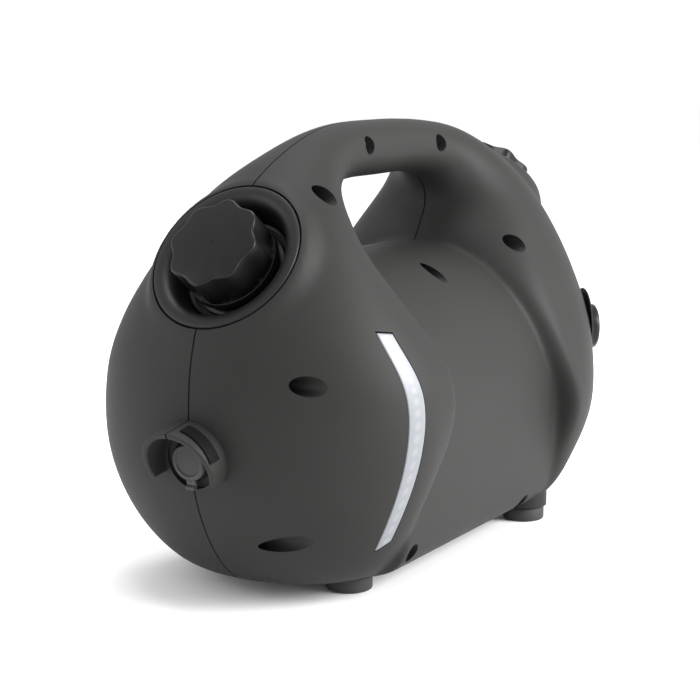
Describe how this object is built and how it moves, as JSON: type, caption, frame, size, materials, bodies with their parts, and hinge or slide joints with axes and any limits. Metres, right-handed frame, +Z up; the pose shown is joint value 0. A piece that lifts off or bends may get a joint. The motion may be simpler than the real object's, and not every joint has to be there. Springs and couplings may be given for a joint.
{
  "type": "electric air mattress pump",
  "caption": "Rechargeable air mattress pump: rounded two-half housing with carry handle, screw-capped inflate and deflate ports, side lamps, charging socket and blower inside.",
  "frame": {"origin": "centre of the footprint of the whole pump, on the surface it stands on", "axes": "+Z up, front (inflate) port towards -X, rear (deflate) port towards +X, left side with the screws and the power button towards -Y"},
  "size_m": [0.3411, 0.1756, 0.219],
  "materials": {
    "housing": "fine moulded texture, satin",
    "flange": "satin",
    "cap": "satin face, glossy skirt",
    "rubber": "matt",
    "steel": "bright",
    "lens": "frosted, translucent white",
    "circuit": "lacquered circuit board",
    "inner": "moulded, black",
    "sleeve": "shrink sleeve"
  },
  "bodies": {
    "root": {"left_shell": "housing", "right_shell": "housing", "front_port_dish": "flange", "rear_port_dish": "flange", "button_bezel": "flange", "front_port_tube": "cap", "rear_port_tube": "cap", "front_left_foot": "rubber", "front_right_foot": "rubber", "rear_left_foot": "rubber", "rear_right_foot": "rubber", "housing_screw_1": "steel", "housing_screw_2": "steel", "housing_screw_3": "steel", "housing_screw_4": "steel", "housing_screw_5": "steel", "housing_screw_6": "steel", "housing_screw_7": "steel", "housing_screw_8": "steel", "housing_screw_9": "steel", "motor": "steel", "left_lamp_lens": "lens", "right_lamp_lens": "lens", "left_lamp_board": "circuit", "right_lamp_board": "circuit", "control_board": "circuit", "charge_socket": "inner", "guard_label": "inner", "power_switch": "inner", "fan_housing_back": "inner", "fan_housing_front": "inner", "outlet_pipe": "inner", "inlet_pipe": "inner", "battery_tray": "inner", "battery_cell_1": "sleeve", "battery_cell_2": "sleeve", "battery_cell_3": "sleeve", "battery_cell_4": "sleeve", "battery_cell_5": "sleeve"},
    "front_cap_lift": {"front_cap_seal": "rubber"},
    "front_cap_turn": {"front_cap": "cap"},
    "rear_cap_lift": {"rear_cap_seal": "rubber"},
    "rear_cap_turn": {"rear_cap": "cap"},
    "rotor": {"motor_shaft": "steel", "impeller": "inner"},
    "button": {"power_button": "cap"},
    "plug": {"socket_plug": "rubber"}
  },
  "joints": [
    {"name": "front_cap_rise", "type": "slide", "parent": "root", "child": "front_cap_lift", "axis": [-0.803, 0, 0.596], "range_m": [0, 0.0081]},
    {"name": "front_cap_unscrew", "type": "hinge", "parent": "front_cap_lift", "child": "front_cap_turn", "pos_m": [-0.125, 0, 0.1612], "axis": [-0.803, 0, 0.596], "range_deg": [0, 720]},
    {"name": "rear_cap_rise", "type": "slide", "parent": "root", "child": "rear_cap_lift", "axis": [0.6822, 0, 0.7312], "range_m": [0, 0.0081]},
    {"name": "rear_cap_unscrew", "type": "hinge", "parent": "rear_cap_lift", "child": "rear_cap_turn", "pos_m": [0.1365, 0, 0.18], "axis": [0.6822, 0, 0.7312], "range_deg": [0, 720]},
    {"name": "fan_spin", "type": "hinge", "parent": "root", "child": "rotor", "pos_m": [-0.039, 0, 0.095], "axis": [1, 0, 0], "continuous": true},
    {"name": "button_press", "type": "slide", "parent": "root", "child": "button", "axis": [-0.6, 0.8, 0], "range_m": [0, 0.0015], "stiffness_N_per_m": 600, "springref_m": -0.001},
    {"name": "plug_pull", "type": "slide", "parent": "root", "child": "plug", "axis": [-0.9854, 0, -0.1701], "range_m": [0, 0.009]}
  ],
  "couplings": [
    {"joint": "front_cap_rise", "follows": "front_cap_unscrew", "m_per_rad": 0.00063662},
    {"joint": "rear_cap_rise", "follows": "rear_cap_unscrew", "m_per_rad": 0.00063662}
  ]
}
